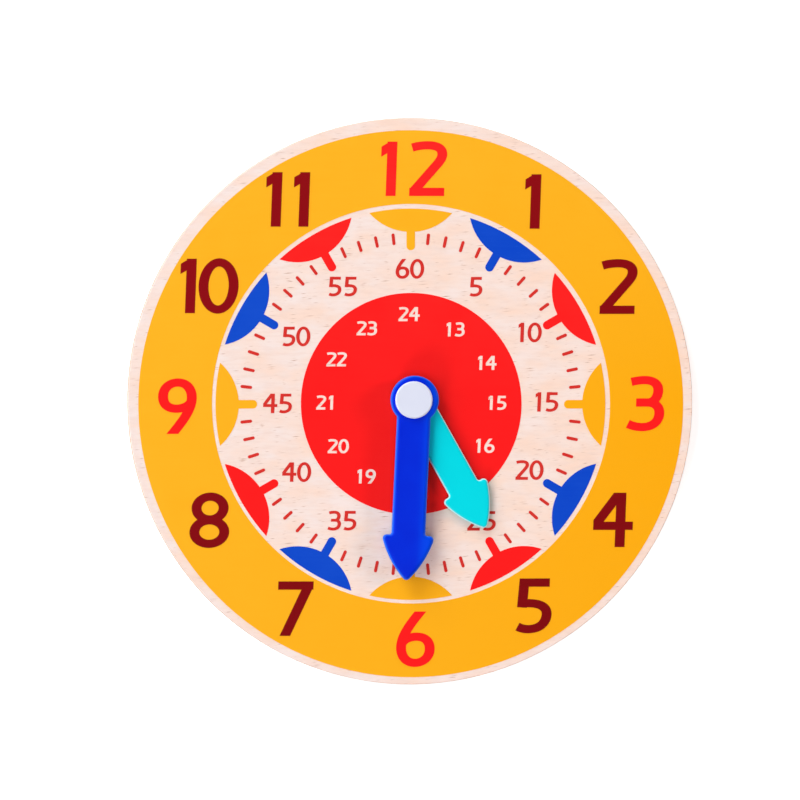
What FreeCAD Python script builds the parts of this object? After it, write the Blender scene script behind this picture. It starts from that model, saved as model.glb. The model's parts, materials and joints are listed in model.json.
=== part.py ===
import FreeCAD, Part
import math
import os
import Sketcher

# Round wooden teaching clock: a printed board, two loose arrow hands and the snap rivet that
# carries them. It lies on its back: +Z is the dial's outward side, +Y points to 12 o'clock,
# and the origin is the middle of the board's back face. Lengths are in millimetres.

# Driving dimensions: name, value, what it sizes. Angles are in degrees, clockwise from 12.
SIZES = (
    ("board_diameter", 300, "round board, across"),
    ("board_thickness", 8, "beech-faced plywood"),
    ("front_edge_round", 0.5, "rounding of the dial side's rim"),
    ("back_edge_round", 1.5, "rounding of the back's rim"),
    ("board_bore", 12, "hole through the board for the rivet's sleeve"),
    ("recess_diameter", 30, "round recess in the back"),
    ("recess_depth", 3, "round recess in the back"),
    ("ink_thickness", 0.1, "one coat of screen ink"),
    ("pivot_right", 0.9, "pivot, right of the board's middle"),
    ("pivot_up", 0.7, "pivot, above the board's middle"),
    ("print_drop", 1.3, "band, disc and numerals, below the board's middle"),
    ("print_right", 0.3, "band and disc, right of the board's middle"),
    ("numeral_left", 0.35, "numerals, left of the board's middle"),
    ("petal_drop", 1.6, "petals and ticks, below the board's middle"),
    ("band_outer_radius", 144.8, "yellow band with the twelve hours"),
    ("band_inner_radius", 105.8, "yellow band with the twelve hours"),
    ("petal_gap", 2.2, "bare wood between the band and the petals"),
    ("petal_radius", 29.3, "arc of a petal's inner side"),
    ("petal_depth", 12.35, "petal, from its outer edge to where its stem starts"),
    ("petal_stem_width", 4.5, "pointer under each petal"),
    ("petal_stem_length", 9.7, "pointer, from the petal's depth to its tip"),
    ("tick_gap", 0.35, "from the petals' depth to the ticks"),
    ("tick_length", 6.2, "minute ticks"),
    ("tick_width", 1.65, "minute ticks"),
    ("centre_disc_gap", 12.8, "red disc, inside the middle of the minute numerals"),
    ("numeral_lean", 2.1, "lean of all the numerals, in degrees"),
    ("level_stroke_share", 0.83, "level strokes, as a share of upright ones"),
    ("hour_numeral_inset", 0.7, "big numerals, inside the middle of the band"),
    ("hour_numeral_height", 28.8, "big numerals"),
    ("hour_numeral_stroke", 5.25, "big numerals"),
    ("minute_numeral_gap", 10.1, "middle of the minute numerals, inside the pointers' tips"),
    ("minute_numeral_height", 10.3, "minute numerals"),
    ("minute_numeral_stroke", 1.83, "minute numerals"),
    ("afternoon_numeral_inset", 12.4, "middle of the numerals 13 to 24, inside the disc's edge"),
    ("afternoon_numeral_height", 7.5, "numerals 13 to 24"),
    ("afternoon_numeral_stroke", 1.55, "numerals 13 to 24"),
    ("stem_diameter", 8, "rivet stem that the hands turn on"),
    ("running_clearance", 0.06, "stem to the bores on it, on the radius"),
    ("hand_play", 0.65, "how far both hands have slipped to the right on the stem"),
    ("running_gap", 0.1, "between a hand and its neighbours along the stem"),
    ("washer_diameter", 20, "friction washers"),
    ("washer_thickness", 0.6, "friction washers"),
    ("hour_hub_diameter", 23, "hour hand"),
    ("hour_blade_width", 17.3, "hour hand"),
    ("hour_shoulder_reach", 54.1, "hour hand, pivot to the arrow head"),
    ("hour_barb_width", 27.2, "hour hand, width of the arrow head"),
    ("hour_reach", 78.5, "hour hand, pivot to tip"),
    ("hour_side_radius", 53, "hour hand, curved sides of the arrow head"),
    ("hour_hand_thickness", 3.2, "hour hand"),
    ("hour_edge_round", 1.6, "hour hand, upper edges"),
    ("hour_rest_angle", 150.6, "where the hour hand stands"),
    ("minute_hub_diameter", 25.7, "minute hand"),
    ("minute_blade_width", 17.9, "minute hand"),
    ("minute_shoulder_reach", 71.6, "minute hand, pivot to the arrow head"),
    ("minute_barb_width", 28.4, "minute hand, width of the arrow head"),
    ("minute_reach", 96.3, "minute hand, pivot to tip"),
    ("minute_side_radius", 53, "minute hand, curved sides of the arrow head"),
    ("minute_hand_thickness", 3.2, "minute hand"),
    ("minute_edge_round", 2, "minute hand, upper edges"),
    ("minute_rest_angle", 182.7, "where the minute hand stands"),
    ("minute_boss_height", 0.6, "boss under the minute hand's hub"),
    ("corner_round", 1.3, "inner corners of the hands"),
    ("barb_round", 2.2, "outer corners of the arrow heads"),
    ("tip_round", 2.3, "tips of the arrow heads"),
    ("cap_diameter", 19.7, "rivet head"),
    ("cap_thickness", 1.6, "rivet head"),
    ("cap_edge_round", 0.9, "rivet head"),
    ("snap_width", 0.6, "how far the stem's barb stands out"),
    ("snap_height", 0.5, "straight part of the barb"),
    ("snap_lead", 1, "tapered end of the stem"),
    ("snap_clearance", 0.15, "barb to the retainer's counterbore, on the radius"),
    ("stem_slot_width", 1.2, "cross slot that lets the stem spring"),
    ("stem_slot_length", 7, "cross slot that lets the stem spring"),
    ("sleeve_clearance", 0.1, "retainer sleeve to the board's bore, on the radius"),
    ("sleeve_setback", 0.3, "how far the sleeve ends below the dial face"),
    ("flange_clearance", 0.5, "retainer to the recess, on the radius"),
    ("flange_thickness", 2.4, "retainer"),
    ("flange_edge_round", 0.6, "retainer"),
    ("counterbore_depth", 1.8, "room for the barb in the retainer"),
)

HOURS = 12
TICKS_PER_HOUR = 4
STEP = 360 / HOURS

# The three rings of numbers, from 1 o'clock on: text, how far right and how far above its
# radial place it was laid out, and the gap between its digits as a share of their height.
HOUR_LABELS = (
    ("1", 3.25, -0.75, 0), ("2", 3.05, -0.15, 0), ("3", 0.5, 0.05, 0), ("4", 0.1, 0.7, 0),
    ("5", 3.35, 0.75, 0), ("6", 2.8, -0.1, 0), ("7", 1.65, -0.5, 0), ("8", 1.35, 0.7, 0),
    ("9", 1.15, -1.3, 0), ("10", 1.5, -0.05, 0.05), ("11", -2.4, 0.15, 0.22),
    ("12", 2.2, -0.1, 0.25),
)
MINUTE_LABELS = (
    ("5", -0.7, 0.05, 0), ("10", 2, 2.05, 0.19), ("15", 1.35, 0.9, 0.25),
    ("20", 1.65, 0.55, 0.03), ("25", 2.25, -0.2, 0.14), ("30", 0, 0, 0.03), ("35", -0.55, 0, 0.14),
    ("40", 1.65, -0.45, 0.03), ("45", 1.05, 0.1, 0.11), ("50", 1.5, -0.15, 0.04),
    ("55", -0.05, 0.1, 0.16), ("60", -0.1, -0.05, 0.03),
)
AFTERNOON_LABELS = (
    ("13", 1.1, -0.7, 0.27), ("14", 1, -1.5, 0.25), ("15", 0.2, 0.45, 0.3),
    ("16", 0, 0.8, 0.26), ("17", 0, 0.5, 0.26), ("18", 0, 1, 0.26), ("19", 0.05, 1.6, 0.25),
    ("20", 1.9, 0.65, 0.04), ("21", 0.9, 0.65, 0.18), ("22", 1, 0.4, 0.04),
    ("23", 0.1, -0.15, 0.04), ("24", -0.55, 1.2, 0.05),
)
RED_HOURS = ("3", "6", "9", "12")

# Digits on a grid that runs from 0 to 1 between the middles of the outer strokes, both ways.
# The first number is that width as a share of the digit's height. A bow is a chain of cubic
# Bezier curves, a ring an ellipse in its box, a bar a straight stroke with how many stroke
# widths it is prolonged by at each end. Bars stop at the digit's box, and above a floor where
# they have one.
SIX_STROKES = (
    ("bow", ((0.73, 1.18), (0.38, 0.90), (0, 0.62), (0, 0.33), (0, 0.13), (0.20, -0.01),
             (0.5, -0.01), (0.80, -0.01), (1, 0.12), (1, 0.28))),
    ("bow", ((1, 0.28), (1, 0.45), (0.83, 0.556), (0.52, 0.556), (0.34, 0.556), (0.15, 0.52),
             (0.04, 0.43))),
)
DIGITS = {
    "0": (0.555, (("ring", (0, -0.01), (1, 1.01)),)),
    "1": (0.108, (
        ("bar", (1, 0), (1, 1), 1, 1),
        ("bar", (-1.35, 0.83), (1.05, 1.015), 0, 0),
    )),
    "2": (0.495, (
        ("bow", ((-0.13, 0.96), (0.05, 0.995), (0.25, 1.01), (0.46, 1.01), (0.80, 1.01),
                 (1, 0.94), (1, 0.814), (1, 0.74), (0.927, 0.671), (0.827, 0.602))),
        ("bar", (-0.163, -0.0811), (0.827, 0.602), 1, 0),
        ("bar", (0, 0), (1.12, 0), 1, 0),
    )),
    "3": (0.51, (
        ("bow", ((-0.053, 0.972), (0.10, 0.995), (0.28, 1.01), (0.447, 1.01), (0.75, 1.01),
                 (0.933, 0.92), (0.933, 0.785), (0.933, 0.64), (0.80, 0.524), (0.55, 0.524))),
        ("bar", (0.145, 0.524), (0.55, 0.524), 0, 0),
        ("bow", ((0.55, 0.524), (0.85, 0.524), (1, 0.43), (1, 0.29), (1, 0.12), (0.78, -0.01),
                 (0.40, -0.01), (0.22, -0.01), (0.05, 0.01), (-0.13, 0.06))),
    )),
    "4": (0.55, (
        ("bar", (0.745, 0), (0.745, 1), 1, 1),
        ("bar", (0, 0.372), (1, 0.372), 1, 1),
        ("bar", (-0.072, 0.407), (0.623, 1.03), 1, 1, 0.372),
    )),
    "5": (0.47, (
        ("bar", (0.08, 1), (1.08, 1), 0, 0),
        ("bar", (0.02, 0.46), (0.077, 1), 0, 1),
        ("bow", ((0.03, 0.552), (0.14, 0.556), (0.24, 0.556), (0.34, 0.553), (0.74, 0.545),
                 (1, 0.47), (1, 0.318), (1, 0.12), (0.72, -0.01), (0.29, -0.01), (0.13, -0.01),
                 (0, 0.01), (-0.13, 0.045))),
    )),
    "6": (0.53, SIX_STROKES),
    "7": (0.467, (
        ("bar", (0, 1), (1, 1), 1, 1),
        ("bar", (0.14, -0.081), (1.07, 1.08), 1, 1),
    )),
    "8": (0.55, (
        ("ring", (0.045, 0.516), (0.95, 1.01)),
        ("ring", (0, -0.01), (1, 0.498)),
    )),
    "9": (0.53, SIX_STROKES),
}
OVERSHOOT = 0.01
HALF_TURN_DIGITS = ("9",)
BOW_STEPS = 5
RING_POINTS = 20


class Size:
    """A length with the formula that FreeCAD keeps for it."""

    def __init__(self, value, text):
        self.value = value
        self.text = text

    def __add__(self, other):
        return combine(self, "+", other)

    def __sub__(self, other):
        return combine(self, "-", other)

    def __mul__(self, other):
        return combine(self, "*", other)

    def __truediv__(self, other):
        return combine(self, "/", other)

    def __neg__(self):
        return combine(Size(0, "0"), "-", self)


def combine(left, sign, right):
    if not isinstance(right, Size):
        right = Size(right, str(right))
    values = {
        "+": lambda: left.value + right.value,
        "-": lambda: left.value - right.value,
        "*": lambda: left.value * right.value,
        "/": lambda: left.value / right.value,
    }
    return Size(values[sign](), f"({left.text} {sign} {right.text})")


def root(size):
    return Size(math.sqrt(size.value), f"sqrt({size.text})")


def make_sheet(doc):
    """Writes the driving dimensions into the spreadsheet and returns them by name."""
    sheet = doc.addObject("Spreadsheet::Sheet", "sizes")
    sizes = {}
    for row, (name, value, note) in enumerate(SIZES, start=1):
        sheet.set(f"A{row}", name)
        sheet.set(f"B{row}", str(value))
        sheet.setAlias(f"B{row}", name)
        sheet.set(f"C{row}", note)
    doc.recompute()
    for name, _, _ in SIZES:
        sizes[name] = Size(float(sheet.get(name)), f"sizes.{name}")
    return sizes


doc = FreeCAD.newDocument("teaching_clock")
size = make_sheet(doc)
ZERO = Size(0.0, "0")
CENTRE = (ZERO, ZERO)


def vector(x, y, z=0):
    return FreeCAD.Vector(x, y, z)


def bind(thing, prop, length):
    thing.setExpression(prop, length.text)


PIVOT = (size["pivot_right"], size["pivot_up"])


# ---- heights above the board's back face, from the board up to the rivet head ----

face_height = size["board_thickness"]
ink_height = face_height + size["ink_thickness"]
hour_height = ink_height + size["washer_thickness"] + size["running_gap"]
minute_washer_height = hour_height + size["hour_hand_thickness"] + size["running_gap"]
minute_height = (
    minute_washer_height + size["washer_thickness"] + size["running_gap"]
    + size["minute_boss_height"]
)
cap_height = minute_height + size["minute_hand_thickness"] + size["running_gap"]
flange_height = size["recess_depth"] - size["flange_thickness"]
ledge_height = flange_height + size["counterbore_depth"]
snap_top = ledge_height - size["running_gap"]
stem_end = snap_top - size["snap_height"] - size["snap_lead"]

running_bore = size["stem_diameter"] + size["running_clearance"] * 2

# ---- radii of the print, each ring placed from the one outside it ----

petal_outer_radius = size["band_inner_radius"] - size["petal_gap"]
petal_low_radius = petal_outer_radius - size["petal_depth"]
pointer_tip_radius = petal_low_radius - size["petal_stem_length"]
tick_outer_radius = petal_low_radius - size["tick_gap"]
hour_radius = (size["band_outer_radius"] + size["band_inner_radius"]) / 2 - size["hour_numeral_inset"]
minute_radius = pointer_tip_radius - size["minute_numeral_gap"]
centre_disc_radius = minute_radius - size["centre_disc_gap"]
afternoon_radius = centre_disc_radius - size["afternoon_numeral_inset"]


# ---- sketches and features ----

def new_body(name, height=ZERO, right=ZERO, up=ZERO):
    body = doc.addObject("PartDesign::Body", name)
    body.Label = name
    body.AllowCompound = True
    bind(body, "Placement.Base.x", right)
    bind(body, "Placement.Base.y", up)
    bind(body, "Placement.Base.z", height)
    return body


def origin_part(body, role):
    return next(part for part in body.Origin.OriginFeatures if part.Role == role)


def new_sketch(body, name, plane="XY_Plane", height=None):
    sketch = body.newObject("Sketcher::SketchObject", name)
    sketch.AttachmentSupport = [(origin_part(body, plane), "")]
    sketch.MapMode = "FlatFace"
    if height is not None:
        bind(sketch, "AttachmentOffset.Base.z", height)
    return sketch


def dimension(sketch, kind, *ends, length):
    """Adds a dimension to the sketch and ties it to the sheet."""
    index = sketch.addConstraint(Sketcher.Constraint(kind, *ends, length.value))
    bind(sketch, f"Constraints[{index}]", length)


def pin(sketch, geometry, end, place):
    """Fixes the coordinates of one point of the sketch. One that is None stays free."""
    for kind, axis, length in (("DistanceX", -2, place[0]), ("DistanceY", -1, place[1])):
        if length is ZERO:
            sketch.addConstraint(Sketcher.Constraint("PointOnObject", geometry, end, axis))
        elif length is not None:
            dimension(sketch, kind, -1, 1, geometry, end, length=length)


def circle(sketch, diameter, middle=CENTRE):
    place = vector(middle[0].value, middle[1].value)
    index = sketch.addGeometry(Part.Circle(place, vector(0, 0, 1), diameter.value / 2), False)
    pin(sketch, index, 3, middle)
    dimension(sketch, "Diameter", index, length=diameter)


def arc_between(start, end, radius, middle_y=None):
    """Anticlockwise arc, less than a half circle unless the height of its middle is given."""
    chord = end - start
    across = vector(-chord.y, chord.x).normalize()
    rise = math.sqrt(max(radius * radius - chord.Length * chord.Length / 4, 0))
    middle, other = (start + end) * 0.5 + across * rise, (start + end) * 0.5 - across * rise
    if middle_y is not None and abs(other.y - middle_y) < abs(middle.y - middle_y):
        middle = other
    angles = [math.atan2(point.y - middle.y, point.x - middle.x) for point in (start, end)]
    return Part.ArcOfCircle(Part.Circle(middle, vector(0, 0, 1), radius), *angles)


def outline(sketch, corners):
    """Closed outline. A corner is x, y and, where an anticlockwise arc leads to the next one,
    its radius and, for a half circle or more, the height of its middle, which then takes the
    place of the radius in the sketch. Every corner is pinned.
    """
    places = [vector(corner[0].value, corner[1].value) for corner in corners]
    pieces = []
    for index, (_, _, *bend) in enumerate(corners):
        start, end = places[index], places[(index + 1) % len(places)]
        if bend:
            shape = arc_between(start, end, *(number.value for number in bend))
        else:
            shape = Part.LineSegment(start, end)
        piece = sketch.addGeometry(shape, False)
        pieces.append(piece)
        if len(bend) == 1:
            dimension(sketch, "Radius", piece, length=bend[0])
        elif bend:
            pin(sketch, piece, 3, (None, bend[1]))
    for index, corner in enumerate(corners):
        joined = Sketcher.Constraint("Coincident", pieces[index - 1], 2, pieces[index], 1)
        sketch.addConstraint(joined)
        pin(sketch, pieces[index], 1, corner)


def pad(body, sketch, length, downward=False):
    feature = body.newObject("PartDesign::Pad", sketch.Name + "_pad")
    feature.Profile = sketch
    feature.Reversed = downward
    bind(feature, "Length", length)
    sketch.Visibility = False
    return feature


def cut_up(body, sketch, depth=None):
    """Cuts the sketch upwards, to a depth or right through, and checks that it cuts."""
    doc.recompute()
    before = body.Shape.Volume
    feature = body.newObject("PartDesign::Pocket", sketch.Name + "_cut")
    feature.Profile = sketch
    feature.Reversed = True
    if depth is None:
        feature.Type = "ThroughAll"
    else:
        bind(feature, "Length", depth)
    doc.recompute()
    if feature.Shape.Volume >= before:
        raise RuntimeError(f"{feature.Name} cuts nothing")
    return feature


def revolve(body, sketch):
    feature = body.newObject("PartDesign::Revolution", sketch.Name + "_turned")
    feature.Profile = sketch
    feature.ReferenceAxis = (origin_part(body, "Z_Axis"), [""])
    feature.Angle = 360
    return feature


def round_edges(body, base, name, radius, chosen):
    """Rounds the edges of the base that pass the test."""
    doc.recompute()
    names = [f"Edge{i}" for i, edge in enumerate(base.Shape.Edges, start=1) if chosen(edge)]
    if not names:
        raise RuntimeError(f"{name} finds no edge")
    feature = body.newObject("PartDesign::Fillet", name)
    feature.Base = (base, names)
    bind(feature, "Radius", radius)
    doc.recompute()
    return feature


def polar(body, feature, copies, angle):
    pattern = body.newObject("PartDesign::PolarPattern", feature.Name + "_pattern")
    pattern.Originals = [feature]
    pattern.Axis = (origin_part(body, "Z_Axis"), [""])
    pattern.Angle = angle
    pattern.Occurrences = copies
    body.Tip = pattern
    return pattern


def is_rim(edge, radius, height):
    """True for a full circle of that radius, at that height, round the Z axis."""
    middle = edge.CenterOfMass
    return (
        isinstance(edge.Curve, Part.Circle)
        and math.isclose(edge.Curve.Radius, radius, abs_tol=1e-6)
        and math.isclose(middle.z, height, abs_tol=1e-6)
    )


def is_upright(edge, x, y):
    """True for an upright edge at x, y or at its mirror place -x, y."""
    top, bottom = edge.Vertexes[0].Point, edge.Vertexes[-1].Point
    stands = math.isclose(top.x, bottom.x, abs_tol=1e-6) and math.isclose(top.y, bottom.y, abs_tol=1e-6)
    at_place = math.isclose(abs(top.x), x, abs_tol=1e-6) and math.isclose(top.y, y, abs_tol=1e-6)
    return stands and at_place


# ---- board and rivet ----

def make_board():
    body = new_body("clock_board")
    disc = new_sketch(body, "board_disc")
    circle(disc, size["board_diameter"])
    circle(disc, size["board_bore"], PIVOT)
    blank = pad(body, disc, size["board_thickness"])
    rim = size["board_diameter"].value / 2
    front = round_edges(body, blank, "board_front_edge", size["front_edge_round"],
                        lambda edge: is_rim(edge, rim, face_height.value))
    round_edges(body, front, "board_back_edge", size["back_edge_round"],
                lambda edge: is_rim(edge, rim, 0))
    recess = new_sketch(body, "board_recess")
    circle(recess, size["recess_diameter"], PIVOT)
    cut_up(body, recess, size["recess_depth"])
    return body


def make_cap():
    """Rivet head with its split stem, turned about Z and slotted crosswise."""
    body = new_body("pivot_cap", ZERO, *PIVOT)
    profile = new_sketch(body, "cap_profile", "XZ_Plane")
    head, stem = size["cap_diameter"] / 2, size["stem_diameter"] / 2
    top = cap_height + size["cap_thickness"]
    barb = stem + size["snap_width"]
    outline(profile, (
        (ZERO, stem_end),
        (stem - size["snap_width"], stem_end),
        (barb, stem_end + size["snap_lead"]),
        (barb, snap_top),
        (stem, snap_top),
        (stem, cap_height),
        (head, cap_height),
        (head, top),
        (ZERO, top),
    ))
    turned = revolve(body, profile)
    round_edges(body, turned, "cap_edge", size["cap_edge_round"],
                lambda edge: is_rim(edge, head.value, top.value))
    slot = new_sketch(body, "cap_slot", height=stem_end)
    across, along = size["stem_slot_width"] / 2, stem + size["snap_width"] * 2
    outline(slot, ((along, -across), (along, across), (-along, across), (-along, -across)))
    polar(body, cut_up(body, slot, size["stem_slot_length"]), 2, 90)
    return body


def make_retainer():
    """Flange in the board's recess with a sleeve in its bore, which the stem snaps into."""
    body = new_body("rear_retainer", ZERO, *PIVOT)
    profile = new_sketch(body, "retainer_profile", "XZ_Plane")
    bore = running_bore / 2
    room = size["stem_diameter"] / 2 + size["snap_width"] + size["snap_clearance"]
    flange = size["recess_diameter"] / 2 - size["flange_clearance"]
    sleeve = size["board_bore"] / 2 - size["sleeve_clearance"]
    sleeve_end = face_height - size["sleeve_setback"]
    outline(profile, (
        (room, flange_height),
        (flange, flange_height),
        (flange, size["recess_depth"]),
        (sleeve, size["recess_depth"]),
        (sleeve, sleeve_end),
        (bore, sleeve_end),
        (bore, ledge_height),
        (room, ledge_height),
    ))
    turned = revolve(body, profile)
    round_edges(body, turned, "retainer_edge", size["flange_edge_round"],
                lambda edge: is_rim(edge, flange.value, flange_height.value))
    return body


def make_washer(name, height):
    body = new_body(name, height, *PIVOT)
    ring = new_sketch(body, name + "_ring")
    circle(ring, size["washer_diameter"])
    circle(ring, running_bore)
    pad(body, ring, size["washer_thickness"])
    return body


# ---- hands, drawn pointing to 12 ----

def make_hand(kind, height, boss_height=None):
    """Arrow hand: round hub, straight blade and an arrow head with curved sides."""
    body = new_body(kind + "_hand", height, PIVOT[0] + size["hand_play"], PIVOT[1])
    body.Placement.Rotation = FreeCAD.Rotation(vector(0, 0, 1), -1)
    bind(body, "Placement.Rotation.Angle", size[kind + "_rest_angle"])
    body.setExpression("Placement.Rotation.Axis.z", "-1")
    hub = size[kind + "_hub_diameter"] / 2
    blade = size[kind + "_blade_width"] / 2
    barb = size[kind + "_barb_width"] / 2
    shoulder, reach = size[kind + "_shoulder_reach"], size[kind + "_reach"]
    neck = root(hub * hub - blade * blade)
    side = size[kind + "_side_radius"]
    shape = new_sketch(body, kind + "_outline")
    outline(shape, (
        (-blade, neck, hub, ZERO),
        (blade, neck),
        (blade, shoulder),
        (barb, shoulder, side),
        (ZERO, reach, side),
        (-barb, shoulder),
        (-blade, shoulder),
    ))
    feature = pad(body, shape, size[kind + "_hand_thickness"])
    for name, radius, x, y in (
        ("_neck", size["corner_round"], blade, neck),
        ("_shoulder", size["corner_round"], blade, shoulder),
        ("_barbs", size["barb_round"], barb, shoulder),
        ("_tip", size["tip_round"], ZERO, reach),
    ):
        feature = round_edges(body, feature, kind + name, radius,
                              lambda edge: is_upright(edge, x.value, y.value))
    top = size[kind + "_hand_thickness"].value
    feature = round_edges(body, feature, kind + "_upper_edges", size[kind + "_edge_round"],
                          lambda edge: math.isclose(edge.BoundBox.ZMin, top, abs_tol=1e-6))
    bottom = ZERO
    if boss_height is not None:
        boss = new_sketch(body, kind + "_boss")
        circle(boss, size["washer_diameter"])
        pad(body, boss, boss_height, downward=True)
        bottom = -boss_height
    bore = new_sketch(body, kind + "_bore", height=bottom)
    circle(bore, running_bore + size["hand_play"] * 2)
    cut_up(body, bore)
    return body


# ---- printed areas ----

def make_band():
    body = new_body("print_hour_band", face_height, size["print_right"], -size["print_drop"])
    ring = new_sketch(body, "band_ring")
    circle(ring, size["band_outer_radius"] * 2)
    circle(ring, size["band_inner_radius"] * 2)
    pad(body, ring, size["ink_thickness"])
    return body


def make_petals(colour, first_hour):
    """Four petals with their pointers, every third hour from the first one."""
    body = new_body("print_petals_" + colour, face_height, ZERO, -size["petal_drop"])
    angle = size_of_turn(first_hour)
    body.Placement.Rotation = FreeCAD.Rotation(vector(0, 0, 1), angle)
    petal = new_sketch(body, colour + "_petal")
    outer, arc = petal_outer_radius, size["petal_radius"]
    stem = size["petal_stem_width"] / 2
    middle = petal_low_radius + arc
    wing_y = (outer * outer + middle * middle - arc * arc) / (middle * 2)
    wing_x = root(outer * outer - wing_y * wing_y)
    stem_top = middle - root(arc * arc - stem * stem)
    stem_low = pointer_tip_radius + stem
    outline(petal, (
        (wing_x, wing_y, outer),
        (-wing_x, wing_y, arc),
        (-stem, stem_top),
        (-stem, stem_low, stem, stem_low),
        (stem, stem_low),
        (stem, stem_top, arc),
    ))
    polar(body, pad(body, petal, size["ink_thickness"]), 4, 360)
    return body


def size_of_turn(hour):
    """Turn from 12 o'clock to the hour, in degrees about +Z."""
    return -STEP * hour


def make_ticks():
    """Four rounded ticks between 12 and 1, repeated round the dial."""
    body = new_body("print_minute_ticks", face_height, ZERO, -size["petal_drop"])
    marks = new_sketch(body, "hour_of_ticks")
    half = size["tick_width"] / 2
    low, high = tick_outer_radius - size["tick_length"] + half, tick_outer_radius - half
    for minute in range(1, TICKS_PER_HOUR + 1):
        turn = math.radians(STEP * minute / (TICKS_PER_HOUR + 1))
        along, across = (math.sin(turn), math.cos(turn)), (math.cos(turn), -math.sin(turn))
        right_low, right_high, left_high, left_low = [
            (reach * along[0] + half * (across[0] * side), reach * along[1] + half * (across[1] * side))
            for reach, side in ((low, 1), (high, 1), (high, -1), (low, -1))
        ]
        outline(marks, (
            right_low, (*right_high, half, high * along[1]),
            left_high, (*left_low, half, low * along[1]),
        ))
    polar(body, pad(body, marks, size["ink_thickness"]), HOURS, 360)
    return body


# ---- numerals ----

class Pen:
    """Draws digits of one height and stroke width as thin solids."""

    def __init__(self, style, thickness):
        self.up = vector(0, 0, thickness)
        self.height = size[style + "_numeral_height"].value
        self.upright = size[style + "_numeral_stroke"].value
        self.level = self.upright * size["level_stroke_share"].value
        self.lean = math.tan(math.radians(size["numeral_lean"].value))
        self.drawn = {}

    def place(self, width, grid):
        """Point on the middle of a stroke, in mm, for a place on the digit's grid."""
        x = self.upright / 2 + grid[0] * (width - self.upright)
        y = self.level / 2 + grid[1] * (self.height - self.level)
        return vector(x, y)

    def stroke_width(self, along):
        return math.hypot(self.upright * along.y, self.level * along.x)

    def leaned(self, point):
        return vector(point.x + self.lean * point.y, point.y)

    def bar(self, width, start, end, start_reach, end_reach, floor=None):
        start, end = self.place(width, start), self.place(width, end)
        along = (end - start).normalize()
        stroke = self.stroke_width(along)
        side = vector(-along.y, along.x) * (stroke / 2)
        start, end = start - along * (stroke * start_reach), end + along * (stroke * end_reach)
        corners = [start - side, end - side, end + side, start + side]
        lowest = 0 if floor is None else self.place(width, (0, floor)).y - self.level / 2
        for axis, limit, keep_above in ((0, 0, True), (0, width, False),
                                        (1, lowest, True), (1, self.height, False)):
            corners = clip(corners, axis, limit, keep_above)
        corners = [self.leaned(corner) for corner in corners]
        return Part.Face(Part.makePolygon(corners + corners[:1]))

    def bow(self, width, poles):
        """Stroke along a chain of cubic Bezier curves, its ends cut square."""
        poles = [self.place(width, pole) for pole in poles]
        left, right = [], []
        for first in range(0, len(poles) - 1, 3):
            curve = Part.BezierCurve()
            curve.setPoles(poles[first:first + 4])
            for step in range(0 if first == 0 else 1, BOW_STEPS + 1):
                point = curve.value(step / BOW_STEPS)
                along = curve.tangent(step / BOW_STEPS)[0]
                side = vector(-along.y, along.x) * (self.stroke_width(along) / 2)
                left.append(self.leaned(point + side))
                right.append(self.leaned(point - side))
        edges = [
            smooth_edge(left),
            Part.makeLine(left[-1], right[-1]),
            smooth_edge(right[::-1]),
            Part.makeLine(right[0], left[0]),
        ]
        return Part.Face(Part.Wire(edges))

    def ring(self, width, low, high):
        """Closed oval stroke whose middle line fills the box from low to high."""
        low, high = self.place(width, low), self.place(width, high)
        middle, half = (low + high) * 0.5, (high - low) * 0.5
        wires = []
        for side in (1, -1):
            across, up = half.x + side * self.upright / 2, half.y + side * self.level / 2
            turns = [2 * math.pi * i / RING_POINTS for i in range(RING_POINTS)]
            points = [middle + vector(across * math.cos(a), up * math.sin(a)) for a in turns]
            wires.append(Part.Wire(smooth_edge([self.leaned(p) for p in points], closed=True)))
        return Part.Face(wires[0]).cut(Part.Face(wires[1]))

    def digit(self, character):
        """Solid of a digit, its lower left corner at the origin, and its width."""
        share, strokes = DIGITS[character]
        width = share * self.height + self.upright
        if character not in self.drawn:
            kinds = {"bar": self.bar, "bow": self.bow, "ring": self.ring}
            parts = [kinds[kind](width, *values).extrude(self.up) for kind, *values in strokes]
            whole = parts[0].fuse(parts[1:]) if len(parts) > 1 else parts[0]
            margin = OVERSHOOT * self.height
            room = Part.makeBox(3 * width, self.height + 2 * margin, self.up.z,
                                vector(-width, -margin))
            whole = whole.common(room).removeSplitter()
            if len(whole.Solids) != 1:
                raise RuntimeError(f"digit {character} falls into {len(whole.Solids)} pieces")
            if character in HALF_TURN_DIGITS:
                lean_width = width + self.lean * self.height
                whole.rotate(vector(lean_width / 2, self.height / 2), vector(0, 0, 1), 180)
            self.drawn[character] = whole.Solids[0]
        return self.drawn[character].copy(), width

    def number(self, text, x, y, digit_gap):
        """Solids of a number whose middle is at x, y."""
        digits, pen_x = [], 0
        for character in text:
            solid, width = self.digit(character)
            solid.translate(vector(pen_x, 0))
            digits.append(solid)
            pen_x += width + digit_gap * self.height
        whole = Part.makeCompound(digits)
        box = whole.BoundBox
        whole.translate(vector(x - (box.XMin + box.XMax) / 2, y - (box.YMin + box.YMax) / 2))
        return whole.Solids


def clip(corners, axis, limit, keep_above):
    """Cuts a convex outline off at a level or upright line."""
    sign = 1 if keep_above else -1
    kept = []
    for index, here in enumerate(corners):
        before = corners[index - 1]
        near, far = sign * (before[axis] - limit), sign * (here[axis] - limit)
        if (near < 0) != (far < 0):
            kept.append(before + (here - before) * (near / (near - far)))
        if far >= 0:
            kept.append(here)
    return kept


def smooth_edge(points, closed=False):
    curve = Part.BSplineCurve()
    curve.interpolate(Points=points, PeriodicFlag=closed)
    return curve.toShape()


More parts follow.
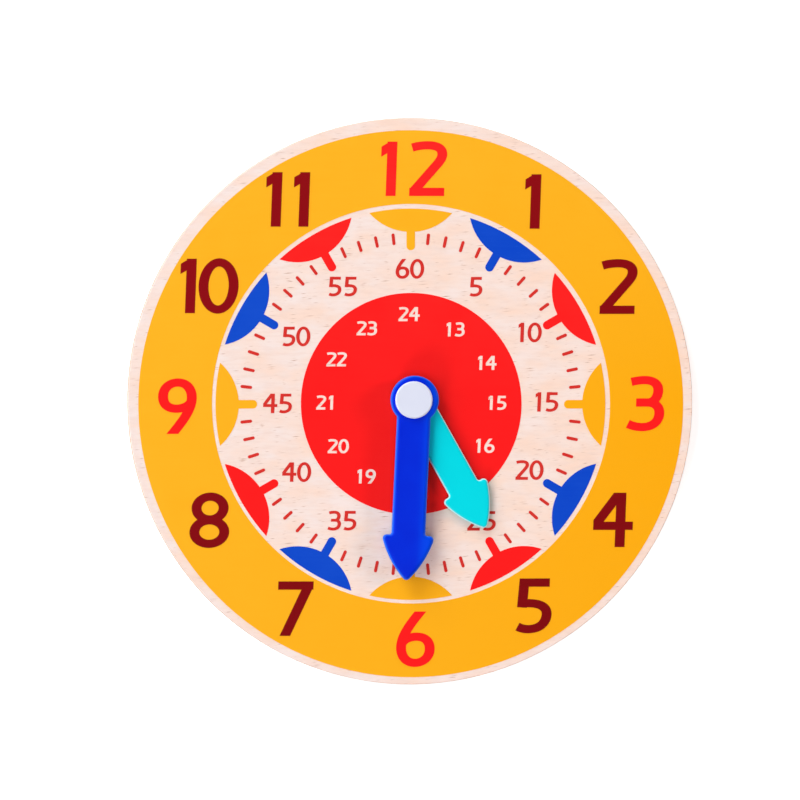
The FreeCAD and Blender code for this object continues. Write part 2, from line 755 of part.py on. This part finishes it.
def numerals(name, style, labels, height, thickness):
    """Solids of all the numbers of one print, from labels of text, place and digit gap."""
    pen = Pen(style, thickness)
    solids = []
    for text, x, y, gap in labels:
        solids += pen.number(text, x, y, gap)
    feature = doc.addObject("Part::Feature", name)
    feature.Label = name
    feature.Shape = Part.makeCompound(solids)
    place = vector(-size["numeral_left"].value, -size["print_drop"].value, height.value)
    feature.Placement = FreeCAD.Placement(place, FreeCAD.Rotation())
    return feature


def ring_of(labels, radius):
    """Places the twelve labels of a ring round the dial, the first at 1 o'clock."""
    placed = []
    for hour, (text, right, above, gap) in enumerate(labels, start=1):
        turn = math.radians(STEP * hour)
        x, y = radius.value * math.sin(turn), radius.value * math.cos(turn)
        placed.append((text, x + right, y + above, gap))
    return placed


def make_centre_disc():
    """Red disc that stops at the bore, with the numbers 13 to 24 left open to the wood."""
    blank = new_body("centre_disc_blank", face_height, size["print_right"], -size["print_drop"])
    disc = new_sketch(blank, "centre_disc")
    circle(disc, centre_disc_radius * 2)
    circle(disc, size["board_bore"],
           (PIVOT[0] - size["print_right"], PIVOT[1] + size["print_drop"]))
    pad(blank, disc, size["ink_thickness"])
    openings = numerals("afternoon_openings", "afternoon", ring_of(AFTERNOON_LABELS, afternoon_radius),
                        face_height, size["ink_thickness"].value)
    cut = doc.addObject("Part::Cut", "print_centre_disc")
    cut.Label = "print_centre_disc"
    cut.Base = blank
    cut.Tool = openings
    return cut


def make_parts():
    ink = size["ink_thickness"].value
    hours = ring_of(HOUR_LABELS, hour_radius)
    red_hours = [label for label in hours if label[0] in RED_HOURS]
    maroon_hours = [label for label in hours if label[0] not in RED_HOURS]
    return [
        make_board(),
        make_retainer(),
        make_washer("hour_hand_washer", ink_height),
        make_hand("hour", hour_height),
        make_washer("minute_hand_washer", minute_washer_height),
        make_hand("minute", minute_height, size["minute_boss_height"]),
        make_cap(),
        make_band(),
        make_petals("yellow", 0),
        make_petals("blue", 1),
        make_petals("red", 2),
        make_ticks(),
        make_centre_disc(),
        numerals("print_minute_numerals", "minute", ring_of(MINUTE_LABELS, minute_radius),
                 face_height, ink),
        numerals("print_hour_numerals_red", "hour", red_hours, ink_height, ink),
        numerals("print_hour_numerals_maroon", "hour", maroon_hours, ink_height, ink),
    ]


def check_and_export(parts):
    doc.recompute()
    failed = [thing.Name for thing in doc.Objects if {"Invalid", "Error"} & set(thing.State)]
    if failed:
        raise RuntimeError(f"failed objects: {failed}")
    for part in parts:
        if part.Shape.isNull() or not part.Shape.isValid() or not part.Shape.Solids:
            raise RuntimeError(f"{part.Label} has no valid solid")
    os.makedirs("parts", exist_ok=True)
    for part in parts:
        part.Shape.exportStep(f"parts/{part.Label}.step")
        print(f"{part.Label}: {len(part.Shape.Solids)} solids, {part.Shape.Volume:.1f} mm3")


check_and_export(make_parts())
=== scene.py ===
import bpy
import json
import math
from mathutils import Matrix, Vector

# Wooden teaching clock, seen from straight in front. The CAD nodes carry every shape;
# this scene gives them their materials, the floor, the lamps and the camera.

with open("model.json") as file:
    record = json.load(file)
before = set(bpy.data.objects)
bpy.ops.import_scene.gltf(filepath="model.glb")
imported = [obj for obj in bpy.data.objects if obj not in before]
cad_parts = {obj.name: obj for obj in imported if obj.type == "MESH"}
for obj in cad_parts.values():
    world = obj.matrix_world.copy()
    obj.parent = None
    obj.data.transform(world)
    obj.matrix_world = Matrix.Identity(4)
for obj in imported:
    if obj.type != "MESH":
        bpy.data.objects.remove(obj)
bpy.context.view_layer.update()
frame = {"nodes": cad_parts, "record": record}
nodes = frame["nodes"]

MM = 0.001
WHITE = (1, 1, 1, 1)


def srgb(red, green, blue):
    """Scene colour of an 8-bit screen colour."""
    levels = [value / 255 for value in (red, green, blue)]
    return tuple(v / 12.92 if v <= 0.04045 else ((v + 0.055) / 1.055) ** 2.4 for v in levels) + (1,)


# ---- materials ----

# The part's own sizes that the materials follow, in millimetres and radians.
BOARD_RADIUS = 150.0
BOARD_THICKNESS = 8.0
MINUTE_HAND_TURN = 0.0471     # how far the minute hand stands past 6 o'clock
MINUTE_HAND_MIDLINE = 1.515   # X of its midline once that turn is undone
SHEEN_FROM = 2.5            # right of that midline a painted sheen lightens the hand from here
SHEEN_TO = 9.5              # to here

GRAIN_SLOPE = 0.07            # of the flecks against the level, in radians
FLECK_DEPTH = 30.0            # how far a fleck reaches into the board
EDGE_BELOW = 0.35             # plies show where the surface looks out less than this


class Shader:
    """A node material on object coordinates, in millimetres."""

    def __init__(self, name, roughness, specular):
        self.material = bpy.data.materials.new(name)
        self.material.use_nodes = True
        self.tree = self.material.node_tree
        self.surface = self.tree.nodes["Principled BSDF"]
        self.surface.inputs["Roughness"].default_value = roughness
        self.surface.inputs["Specular IOR Level"].default_value = specular
        place = self.add("ShaderNodeTexCoord").outputs["Object"]
        self.place = self.scaled(place, (1 / MM, 1 / MM, 1 / MM))

    def feed(self, socket, value):
        """Links the socket to another node's output, or sets it to a plain value."""
        if isinstance(value, bpy.types.NodeSocket):
            self.tree.links.new(value, socket)
        else:
            socket.default_value = value

    def add(self, kind, **inputs):
        """New node. The inputs have the names of its sockets, with _ for a space."""
        node = self.tree.nodes.new(kind)
        for name, value in inputs.items():
            self.feed(node.inputs[name.replace("_", " ")], value)
        return node

    def scaled(self, place, scale, turn=0.0, shift=(0, 0, 0)):
        """Place scaled, then turned about Z, then shifted."""
        node = self.add("ShaderNodeMapping", Vector=place, Scale=scale, Location=shift,
                        Rotation=(0, 0, turn))
        return node.outputs["Vector"]

    def axis(self, vector, name):
        """X, Y or Z of a vector."""
        return self.add("ShaderNodeSeparateXYZ", Vector=vector).outputs[name]

    def share(self, value, low, high):
        """0 where the value is low or less, 1 where it is high or more."""
        node = self.add("ShaderNodeMapRange", Value=value, From_Min=low, From_Max=high)
        return node.outputs["Result"]

    def along(self, axis):
        """0 at the dial's left or low rim and 1 at its right or high rim, along X or Y."""
        return self.share(self.axis(self.place, axis), -BOARD_RADIUS, BOARD_RADIUS)

    def facing_up(self):
        """1 where the surface looks out of the dial, 0 where it stands upright."""
        return self.axis(self.add("ShaderNodeNewGeometry").outputs["Normal"], "Z")

    def noise(self, scale, place=None, detail=2.0, roughness=0.5):
        """Noise with features of about 1 / scale millimetres."""
        node = self.add("ShaderNodeTexNoise", Vector=place or self.place, Scale=scale,
                        Detail=detail, Roughness=roughness)
        return node.outputs["Fac"]

    def ramp(self, value, *stops):
        """Colour ramp from pairs of position and grey level or colour."""
        node = self.add("ShaderNodeValToRGB", Fac=value)
        elements = node.color_ramp.elements
        while len(elements) < len(stops):
            elements.new(0.5)
        for element, (position, colour) in zip(elements, stops):
            element.position = position
            element.color = colour if isinstance(colour, tuple) else (colour, colour, colour, 1)
        return node.outputs["Color"]

    def math(self, operation, first, second=0.0, clamp=False):
        """Result of one Math node."""
        node = self.tree.nodes.new("ShaderNodeMath")
        node.operation = operation
        node.use_clamp = clamp
        self.feed(node.inputs[0], first)
        self.feed(node.inputs[1], second)
        return node.outputs["Value"]

    def mix(self, amount, first, second):
        """Colour between the first, at amount 0, and the second, at amount 1."""
        node = self.tree.nodes.new("ShaderNodeMix")
        node.data_type = "RGBA"
        factor, colour_a, colour_b = node.inputs[0], node.inputs[6], node.inputs[7]
        self.feed(factor, amount)
        self.feed(colour_a, first)
        self.feed(colour_b, second)
        return node.outputs[2]

    def colour(self, value):
        self.feed(self.surface.inputs["Base Color"], value)

    def rough(self, value, low, high):
        """Roughness from low to high as the value goes from 0 to 1."""
        node = self.add("ShaderNodeMapRange", Value=value, To_Min=low, To_Max=high)
        self.feed(self.surface.inputs["Roughness"], node.outputs["Result"])

    def bump(self, height, distance):
        """Bump whose height runs from 0 to the distance, in millimetres."""
        node = self.add("ShaderNodeBump", Height=height, Strength=1.0, Distance=distance * MM)
        self.feed(self.surface.inputs["Normal"], node.outputs["Normal"])


def grain(shader, scale, squeeze):
    """Level streaks of wood grain; their height is their length times the squeeze."""
    place = shader.scaled(shader.place, (squeeze, 1, 1))
    return shader.noise(scale, place, detail=4, roughness=0.6)


def fine_grain(shader):
    """The relief of beech, which also shows through ink."""
    return grain(shader, 1.4, squeeze=0.12)


def flecks(shader, cell_length, cell_height, chance, shift=(0, 0, 0)):
    """Mask of short ray flecks, one in some of the cells of a jittered grid."""
    level = shader.scaled(shader.place, (1, 1, 1), turn=-GRAIN_SLOPE)
    place = shader.scaled(level, (1 / cell_length, 1 / cell_height, 1 / FLECK_DEPTH), shift=shift)
    cell = shader.add("ShaderNodeTexVoronoi", Vector=place, Scale=1.0, Randomness=1.0)
    cell.feature = "F1"
    cell.distance = "MANHATTAN"
    spot = shader.ramp(cell.outputs["Distance"], (0.0, 1.0), (0.22, 1.0), (0.34, 0.0))
    drawn = shader.add("ShaderNodeSeparateColor", Color=cell.outputs["Color"])
    shown = shader.math("LESS_THAN", drawn.outputs["Red"], chance)
    depth = shader.ramp(drawn.outputs["Green"], (0.0, 0.25), (1.0, 1.0))
    region = shader.noise(0.1, shader.scaled(shader.place, (1, 2.2, 1)), detail=1)
    weight = shader.math("MULTIPLY", depth, shader.ramp(region, (0.35, 0.35), (0.6, 1.0)))
    return shader.math("MULTIPLY", shader.math("MULTIPLY", spot, shown), weight)


def plies(shader):
    """Tones of the plywood's edge: light and dark plies from back to front, glue between them."""
    glue, dark, light = srgb(188, 146, 114), srgb(212, 175, 147), srgb(228, 196, 174)
    height = shader.math("DIVIDE", shader.axis(shader.place, "Z"), BOARD_THICKNESS)
    return shader.ramp(height,
                       (0.00, light), (0.10, glue),
                       (0.12, dark), (0.36, dark), (0.38, glue),
                       (0.40, light), (0.60, light), (0.62, glue),
                       (0.64, dark), (0.88, dark), (0.90, glue),
                       (0.92, light))


def beech():
    """Lacquered beech plywood, with painted light: slightly warmer towards the dial's right rim and
    paler towards its left.
    """
    shader = Shader("beech", roughness=0.5, specular=0.15)
    streak, fleck, fibre = srgb(236, 204, 190), srgb(198, 150, 124), srgb(190, 146, 116)

    # Painted light: the warm and pale tones both shift warmer towards the right rim, standing in
    # for how the light falls across the dial.
    right = shader.along("X")
    warm = shader.mix(right, srgb(249, 220, 206), srgb(252, 217, 197))
    pale = shader.mix(right, srgb(247, 229, 224), srgb(250, 226, 216))
    cloud = shader.noise(0.1, shader.scaled(shader.place, (0.5, 1, 1), turn=0.5), detail=3)
    face = shader.mix(shader.ramp(cloud, (0.34, 0.0), (0.66, 1.0)), warm, pale)

    long_grain = grain(shader, 0.5, squeeze=0.2)
    face = shader.mix(shader.ramp(long_grain, (0.28, 0.42), (0.55, 0.0)), face, streak)

    large = flecks(shader, 10.5, 0.95, chance=0.38)
    small = flecks(shader, 6.5, 0.7, chance=0.32, shift=(17.3, 5.1, 0))
    marks = shader.math("ADD", large, small, clamp=True)
    face = shader.mix(marks, face, fleck)

    end_fibre = shader.noise(2.2, shader.scaled(shader.place, (1, 1, 0.3)), detail=3)
    edge = shader.mix(shader.math("MULTIPLY", end_fibre, 0.25), plies(shader), fibre)
    upright = shader.math("LESS_THAN", shader.math("ABSOLUTE", shader.facing_up()), EDGE_BELOW)
    shader.colour(shader.mix(upright, face, edge))

    relief = shader.math("SUBTRACT", fine_grain(shader), shader.math("MULTIPLY", marks, 0.25))
    shader.bump(relief, 0.019)
    shader.rough(long_grain, low=0.42, high=0.58)
    return shader.material


def ink(name, colour, worn, amount=0.5, right=None, high=None, low=None):
    """Screen ink on beech: faint clouding, the wood's grain and flecks showing through.

    The amount says how far it wears towards its worn colour. The colours for the dial's right, high
    and low rims are painted light: the pass grows lighter towards the top and darker towards the
    right and bottom, as the light falls across the dial.
    """
    shader = Shader(name, roughness=0.45, specular=0.07)
    # Painted light: the right, high and low colours lighten the ink towards the top and darken it
    # towards the right and bottom.
    if right:
        colour = shader.mix(shader.along("X"), colour, right)
    if high:
        colour = shader.mix(shader.ramp(shader.along("Y"), (0.5, 0.0), (1.0, 1.0)), colour, high)
    if low:
        colour = shader.mix(shader.ramp(shader.along("Y"), (0.0, 1.0), (0.5, 0.0)), colour, low)

    cloud = shader.noise(0.05, detail=3)
    streaks = grain(shader, 0.5, squeeze=0.06)
    wear = shader.math("ADD", shader.math("MULTIPLY", cloud, 0.6),
                       shader.math("MULTIPLY", streaks, 0.4))
    base = shader.mix(shader.ramp(wear, (0.35, 0.0), (0.68, amount)), colour, worn)
    marks = flecks(shader, 5.5, 1.6, chance=0.14, shift=(3.7, 1.3, 0))
    shader.colour(shader.mix(shader.math("MULTIPLY", marks, amount), base, worn))

    speck = shader.noise(3.0, detail=2)
    relief = shader.math("ADD", shader.math("MULTIPLY", fine_grain(shader), 0.6),
                         shader.math("MULTIPLY", speck, 0.4))
    shader.bump(relief, 0.02)
    shader.rough(speck, low=0.38, high=0.52)
    return shader.material


def plastic(name, colour, shade, roughness=0.3, specular=0.15, edge=None, rim=None, painted_sheen=None):
    """Moulded plastic: flow clouding from the colour to the shade, and a fine skin.

    The painted sheen's colour comes to the right of the minute hand's midline, standing in for a
    reflection there; the edge's colour is a painted highlight wherever the surface turns down, and
    the rim's a painted highlight only on the rounded edge itself.
    """
    shader = Shader(name, roughness, specular)
    flow = shader.noise(0.06, detail=2)
    face = shader.mix(shader.ramp(flow, (0.35, 0.0), (0.65, 1.0)), colour, shade)
    # Painted sheen: a lighter band along the right of the minute hand stands in for light reflected
    # there.
    if painted_sheen:
        across = shader.scaled(shader.place, (1, 1, 1), turn=MINUTE_HAND_TURN,
                               shift=(-MINUTE_HAND_MIDLINE, 0, 0))
        beside = shader.share(shader.axis(across, "X"), SHEEN_FROM, SHEEN_TO)
        sheen_share = shader.ramp(beside, (0.0, 0.0), (0.3, 0.12), (0.75, 0.8), (1.0, 1.0))
        face = shader.mix(sheen_share, face, painted_sheen)
    up = shader.facing_up()
    # Painted highlight: the edge colour where the face starts to round down.
    if edge:
        face = shader.mix(shader.ramp(up, (0.55, 1.0), (0.98, 0.0)), face, edge)
    # Painted highlight: the rim colour as a pale line on the rounded edge itself.
    if rim:
        painted_rim_share = shader.ramp(up, (0.03, 0.0), (0.2, 1.0), (0.6, 1.0), (0.84, 0.0))
        face = shader.mix(painted_rim_share, face, rim)
    shader.colour(face)

    skin = shader.noise(2.5, detail=3)
    shader.bump(skin, 0.012)
    shader.rough(skin, low=roughness - 0.06, high=roughness + 0.08)
    return shader.material


MATERIALS = {
    "beech": beech(),
    # The inks' right, high and low colours are painted light falling across the dial.
    "yellow_ink": ink("yellow_ink", srgb(254, 180, 34), srgb(251, 172, 22), amount=0.4,
                      right=srgb(254, 171, 6), high=srgb(254, 181, 36)),
    "red_ink": ink("red_ink", srgb(255, 27, 27), srgb(253, 20, 23),
                   high=srgb(255, 40, 36), low=srgb(255, 26, 26)),
    "blue_ink": ink("blue_ink", srgb(8, 72, 199), srgb(22, 81, 204), right=srgb(2, 66, 197)),
    "maroon_ink": ink("maroon_ink", srgb(136, 2, 14), srgb(136, 4, 14),
                      right=srgb(124, 0, 4), high=srgb(142, 4, 12), low=srgb(116, 0, 2)),
    "fine_red_ink": ink("fine_red_ink", srgb(212, 44, 38), srgb(218, 62, 54)),
    # The plastics' edge and rim colours are painted highlights, the cap's bluish ones a painted
    # reflection of the blue hand, and the blue hand's lighter right side a painted sheen.
    "blue_plastic": plastic("blue_plastic", srgb(0, 40, 212), srgb(0, 44, 217), specular=0.05,
                            edge=srgb(0, 74, 232), rim=srgb(40, 110, 240), painted_sheen=srgb(0, 68, 231)),
    "teal_plastic": plastic("teal_plastic", srgb(0, 218, 228), srgb(0, 215, 225), specular=0.05,
                            edge=srgb(20, 222, 230), rim=srgb(205, 247, 250)),
    "white_plastic": plastic("white_plastic", srgb(223, 225, 241), srgb(220, 222, 239),
                             edge=srgb(234, 241, 255), rim=srgb(232, 240, 255)),
    "clear_washer": plastic("clear_washer", srgb(226, 226, 222), srgb(220, 220, 215),
                            roughness=0.4, specular=0.4),
}

for part in frame["record"]["subparts"]:
    for slot in nodes[part["node"]].material_slots:
        slot.material = MATERIALS[part["material_slot"]]


# ---- floor, lamps, camera ----

FLOOR_SIZE = 8.0
FLOOR_GREY = 0.8
FLOOR_GLOW = 0.62             # lifts the lit floor to white and leaves its shadows grey
LAMP_DISTANCE = 6.0

# The dial's middle is to the right of the frame's middle.
CAMERA_AIM = Vector((-5.70, 0.66, BOARD_THICKNESS)) * MM
CAMERA_DISTANCE = 6.0
CAMERA_FROM_LEFT = 5.0        # in degrees
CAMERA_REACH = 20.0
SENSOR_WIDTH = 36.0
FRAME_PIXELS = 800
PIXEL = 0.5294                # on the dial, in millimetres
FRAME_WIDTH = FRAME_PIXELS * PIXEL * MM


def looking_rays(tree):
    """1 for the rays that show the background itself: straight, mirrored or seen through."""
    rays = tree.nodes.new("ShaderNodeLightPath")
    last = rays.outputs["Is Camera Ray"]
    for name in ("Is Glossy Ray", "Is Transmission Ray"):
        either = tree.nodes.new("ShaderNodeMath")
        either.operation = "MAXIMUM"
        tree.links.new(last, either.inputs[0])
        tree.links.new(rays.outputs[name], either.inputs[1])
        last = either.outputs[0]
    return last


def make_floor():
    """Pale floor that shows white to the camera and still takes the object's shadow."""
    bpy.ops.mesh.primitive_plane_add(size=FLOOR_SIZE, location=(0, 0, 0))
    floor = bpy.context.object
    floor.name = "floor"
    material = bpy.data.materials.new("floor")
    material.use_nodes = True
    tree = material.node_tree
    surface = tree.nodes["Principled BSDF"]
    surface.inputs["Base Color"].default_value = (FLOOR_GREY, FLOOR_GREY, FLOOR_GREY, 1)
    surface.inputs["Roughness"].default_value = 0.9
    surface.inputs["Specular IOR Level"].default_value = 0
    surface.inputs["Emission Color"].default_value = WHITE
    glow = tree.nodes.new("ShaderNodeMath")
    glow.operation = "MULTIPLY"
    glow.inputs[1].default_value = FLOOR_GLOW
    tree.links.new(looking_rays(tree), glow.inputs[0])
    tree.links.new(glow.outputs[0], surface.inputs["Emission Strength"])
    floor.data.materials.append(material)


def aim(thing, target):
    """Points a lamp or camera at the target, with 12 o'clock upwards."""
    back = (thing.location - Vector(target)).normalized()
    right = Vector((0, 1, 0)).cross(back).normalized()
    thing.rotation_euler = Matrix((right, back.cross(right), back)).transposed().to_euler()


def add_lamp(name, azimuth, elevation, spread, level, tint):
    """Round soft lamp. Level is the share of white that it gives a white board lying flat.

    The azimuth runs anticlockwise from 3 o'clock, the elevation up from the board, and the
    spread is half the angle that the lamp fills, seen from the board, all in degrees.
    """
    azimuth, elevation, spread = (math.radians(a) for a in (azimuth, elevation, spread))
    data = bpy.data.lights.new(name, "AREA")
    data.color = tint
    data.shape = "DISK"
    data.size = 2 * LAMP_DISTANCE * math.tan(spread)
    falling = math.sin(elevation) * (math.cos(spread) / (math.pi * LAMP_DISTANCE)) ** 2
    data.energy = level / falling
    lamp = bpy.data.objects.new(name, data)
    lamp.location = LAMP_DISTANCE * Vector((math.cos(azimuth) * math.cos(elevation),
                                            math.sin(azimuth) * math.cos(elevation),
                                            math.sin(elevation)))
    lamp.visible_camera = False
    bpy.context.scene.collection.objects.link(lamp)
    aim(lamp, (0, 0, 0))


def make_world(strength, tint):
    """Weak even light on the object, in front of a white background."""
    world = bpy.data.worlds.new("studio")
    bpy.context.scene.world = world
    world.use_nodes = True
    tree = world.node_tree
    light = tree.nodes.new("ShaderNodeMix")
    light.data_type = "RGBA"
    lit, shown = light.inputs[6], light.inputs[7]
    lit.default_value = (*(strength * level for level in tint), 1)
    shown.default_value = WHITE
    tree.links.new(looking_rays(tree), light.inputs[0])
    tree.links.new(light.outputs[2], tree.nodes["Background"].inputs["Color"])


def make_camera():
    """Long lens, level with the dial's middle and a little to the left of it."""
    data = bpy.data.cameras.new("camera")
    data.sensor_width = SENSOR_WIDTH
    data.lens = data.sensor_width * CAMERA_DISTANCE / FRAME_WIDTH
    data.clip_end = CAMERA_REACH
    camera = bpy.data.objects.new("camera", data)
    bpy.context.scene.collection.objects.link(camera)
    bpy.context.scene.camera = camera
    left = math.radians(CAMERA_FROM_LEFT)
    direction = Vector((-math.sin(left), 0, math.cos(left)))
    camera.location = CAMERA_AIM + direction * CAMERA_DISTANCE
    aim(camera, CAMERA_AIM)


make_floor()
# The lamps' places and shares follow the shadows beside the hands.
add_lamp("key", azimuth=174, elevation=39, spread=26, level=0.291, tint=(0.985, 1.0, 1.035))
add_lamp("top", azimuth=121, elevation=25, spread=16, level=0.277, tint=(0.86, 1.0, 0.985))
add_lamp("lower_left", azimuth=241, elevation=25, spread=8, level=0.133, tint=(1.0, 1.0, 0.965))
add_lamp("right", azimuth=13, elevation=25, spread=8, level=0.138, tint=(1.105, 1.0, 0.975))
add_lamp("overhead", azimuth=260, elevation=72, spread=16, level=0.169, tint=(1.105, 1.0, 1.045))
make_world(strength=0.02, tint=(1.0, 0.95, 0.93))
make_camera()
bpy.context.scene.view_settings.view_transform = "Standard"
